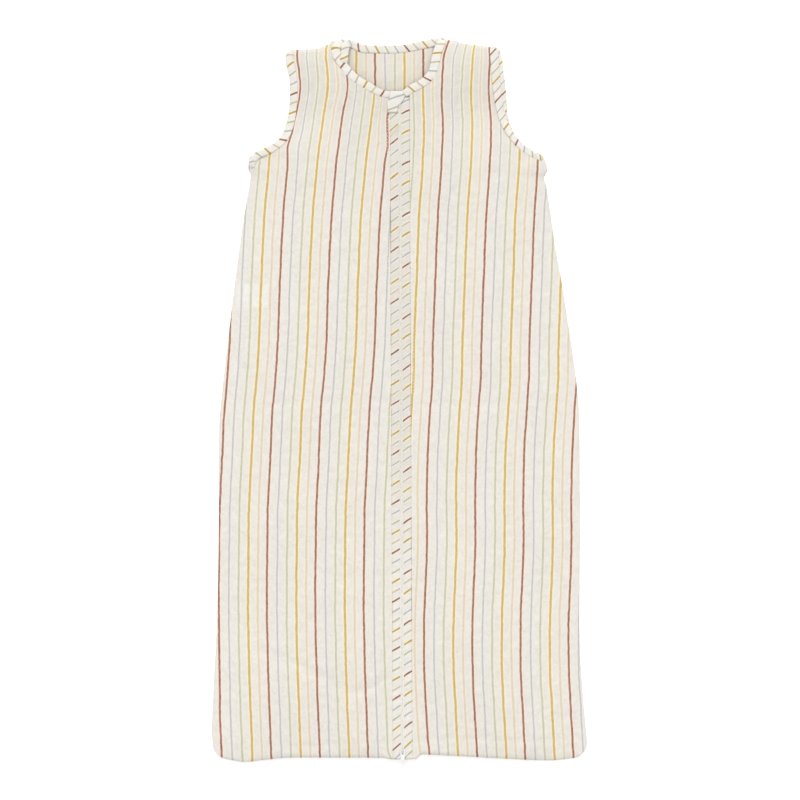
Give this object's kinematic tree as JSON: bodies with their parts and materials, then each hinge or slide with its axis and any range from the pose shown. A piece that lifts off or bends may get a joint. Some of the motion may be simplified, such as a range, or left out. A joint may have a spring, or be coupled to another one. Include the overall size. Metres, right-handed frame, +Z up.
{
  "type": "baby sleeping bag",
  "caption": "Sleeveless summer sleeping bag for a baby in striped cotton muslin, with bound neck and armholes and a centre-front zip under striped bias bands, lying flat.",
  "frame": {"origin": "middle of the bag's box in X and Y, on the surface that the bag lies on", "axes": "+X to the right as the bag is seen from above, +Y from the hem to the neck, +Z up, out of the front"},
  "size_m": [0.363, 0.7049, 0.0212],
  "materials": {
    "muslin": "crinkled double cotton gauze, off-white with thin rust, grey-blue, sage, mustard and peach stripes",
    "bias_binding": "the same muslin cut on the bias, folded",
    "zip_tape": "woven white polyester tape",
    "white_nylon": "satin white nylon",
    "white_lacquer": "white lacquer",
    "label_satin": "white satin ribbon, blank"
  },
  "bodies": {
    "bag": {"back_panel": "muslin", "front_panel_left": "muslin", "front_panel_right": "muslin", "neck_binding": "bias_binding", "armhole_binding_left": "bias_binding", "armhole_binding_right": "bias_binding", "care_label": "label_satin", "size_label": "label_satin", "zip_tape_left": "zip_tape", "zip_tape_right": "zip_tape", "zip_teeth_left": "white_nylon", "zip_teeth_right": "white_nylon", "zip_end_stop_left": "white_nylon", "zip_end_stop_right": "white_nylon", "zip_band_left": "bias_binding", "zip_band_right": "bias_binding", "zip_start_box": "white_nylon", "zip_start_pin": "white_nylon"},
    "slider": {"zip_slider": "white_lacquer"},
    "pull": {"zip_pull": "white_lacquer"},
    "garage": {"zip_garage": "bias_binding"}
  },
  "joints": [
    {"name": "zip_slide", "type": "slide", "parent": "bag", "child": "slider", "axis": [0, 0.9999, 0.0139], "range_m": [0, 0.609]},
    {"name": "pull_hinge", "type": "hinge", "parent": "slider", "child": "pull", "pos_m": [0, -0.33706, 0.00842], "axis": [-1, 0, 0], "range_deg": [0, 150]},
    {"name": "garage_flap", "type": "hinge", "parent": "bag", "child": "garage", "pos_m": [-0.0107, 0.28888, 0.0173], "axis": [0, -0.9999, -0.0139], "range_deg": [0, 160]}
  ]
}
